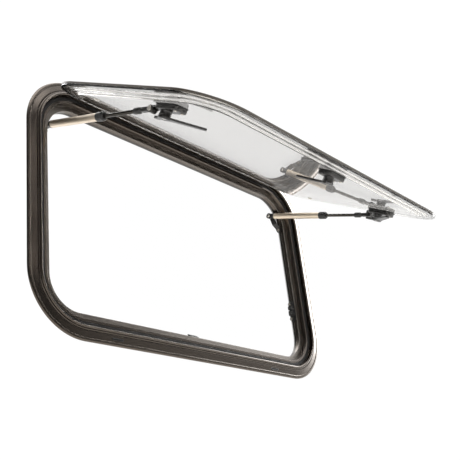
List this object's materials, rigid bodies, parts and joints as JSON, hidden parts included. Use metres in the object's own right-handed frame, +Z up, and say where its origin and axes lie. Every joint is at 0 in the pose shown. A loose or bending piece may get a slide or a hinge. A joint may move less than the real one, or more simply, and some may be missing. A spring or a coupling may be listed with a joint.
{
  "type": "hull side hatch",
  "caption": "Top-hung framed acrylic hatch that swings outward on two telescopic stays and closes with rotary lever latches; clamps into a hull cut-out.",
  "frame": {"origin": "centre of the hull cut-out, on the hull's outer skin", "axes": "+X to the right seen from outside, +Y into the hull along the cut-out's axis, +Z up; stored with the pane fully open"},
  "size_m": [0.7, 0.3785, 0.438],
  "materials": {
    "bronze_anodised": "dark bronze anodised, satin",
    "black_anodised": "black anodised, satin",
    "mill_aluminium": "plain",
    "champagne_anodised": "champagne anodised, satin",
    "dark_steel": "dark satin",
    "stainless": "bright",
    "black_plastic": "moulded, semi-gloss",
    "rubber": "matt",
    "acrylic": "clear light grey, polished",
    "bond": "dark sealing bond"
  },
  "bodies": {
    "frame": {"outer_frame": "bronze_anodised", "clamp_frame": "black_anodised", "wall_gasket": "rubber", "pane_seal": "rubber", "flange_infill": "bronze_anodised", "drain_inserts": "black_plastic", "clamp_screws": "stainless", "joint_key": "mill_aluminium", "keeper_left": "black_plastic", "keeper_right": "black_plastic", "keeper_bottom": "black_plastic", "keeper_screws": "stainless", "stay_bracket_left": "black_plastic", "stay_bracket_right": "black_plastic", "bracket_screws": "stainless", "bracket_rivets": "stainless"},
    "pane": {"outer_pane": "acrylic", "pane_bond": "bond", "inner_pane": "acrylic", "vent_plugs": "black_plastic", "hinge_profile": "bronze_anodised", "hinge_caps": "black_plastic", "latch_base_left": "black_plastic", "latch_base_center": "black_plastic", "latch_base_right": "black_plastic", "latch_pads": "rubber", "latch_screws": "stainless", "latch_pivot_screws": "stainless", "lug_pins": "black_plastic"},
    "lever_left": {"latch_lever_left": "black_plastic"},
    "lever_center": {"latch_lever_center": "black_plastic"},
    "lever_right": {"latch_lever_right": "black_plastic"},
    "stay_left": {"stay_tube_left": "champagne_anodised", "stay_eye_left": "black_plastic"},
    "collar_left": {"stay_collar_left": "black_plastic"},
    "rod_left": {"stay_rod_left": "dark_steel", "stay_piston_left": "black_plastic", "stay_rod_end_left": "black_plastic", "stay_pin_left": "stainless"},
    "stay_right": {"stay_tube_right": "champagne_anodised", "stay_eye_right": "black_plastic"},
    "collar_right": {"stay_collar_right": "black_plastic"},
    "rod_right": {"stay_rod_right": "dark_steel", "stay_piston_right": "black_plastic", "stay_rod_end_right": "black_plastic", "stay_pin_right": "stainless"}
  },
  "joints": [
    {"name": "pane_hinge", "type": "hinge", "parent": "frame", "child": "pane", "pos_m": [0, -0.0065, 0.1975], "axis": [1, 0, 0], "range_deg": [0, 59.35]},
    {"name": "lever_left_turn", "type": "hinge", "parent": "pane", "child": "lever_left", "pos_m": [-0.28, -0.2273, 0.04539], "axis": [0, 0.5098, -0.8603], "range_deg": [-96, 9]},
    {"name": "lever_center_turn", "type": "hinge", "parent": "pane", "child": "lever_center", "pos_m": [0, -0.3, 0.00231], "axis": [0, 0.5098, -0.8603], "range_deg": [-40, 65]},
    {"name": "lever_right_turn", "type": "hinge", "parent": "pane", "child": "lever_right", "pos_m": [0.28, -0.2273, 0.04539], "axis": [0, 0.5098, -0.8603], "range_deg": [-9, 96]},
    {"name": "stay_left_pivot", "type": "hinge", "parent": "frame", "child": "stay_left", "pos_m": [-0.289, 0.0285, 0.146], "axis": [1, 0, 0], "range_deg": [0, 64.57]},
    {"name": "rod_left_slide", "type": "slide", "parent": "stay_left", "child": "rod_left", "axis": [0, -0.9336, -0.3582], "range_m": [-0.05844, 0]},
    {"name": "collar_left_twist", "type": "hinge", "parent": "stay_left", "child": "collar_left", "pos_m": [-0.289, -0.10221, 0.09585], "axis": [0, -0.9336, -0.3582], "range_deg": [0, 90]},
    {"name": "stay_right_pivot", "type": "hinge", "parent": "frame", "child": "stay_right", "pos_m": [0.289, 0.0285, 0.146], "axis": [1, 0, 0], "range_deg": [0, 64.57]},
    {"name": "rod_right_slide", "type": "slide", "parent": "stay_right", "child": "rod_right", "axis": [0, -0.9336, -0.3582], "range_m": [-0.05844, 0]},
    {"name": "collar_right_twist", "type": "hinge", "parent": "stay_right", "child": "collar_right", "pos_m": [0.289, -0.10221, 0.09585], "axis": [0, -0.9336, -0.3582], "range_deg": [0, 90]}
  ],
  "couplings": [
    {"joint": "stay_left_pivot", "follows": "pane_hinge", "ratio": 1.087},
    {"joint": "rod_left_slide", "follows": "pane_hinge", "m_per_rad": -0.056318},
    {"joint": "stay_right_pivot", "follows": "pane_hinge", "ratio": 1.087},
    {"joint": "rod_right_slide", "follows": "pane_hinge", "m_per_rad": -0.056318}
  ]
}
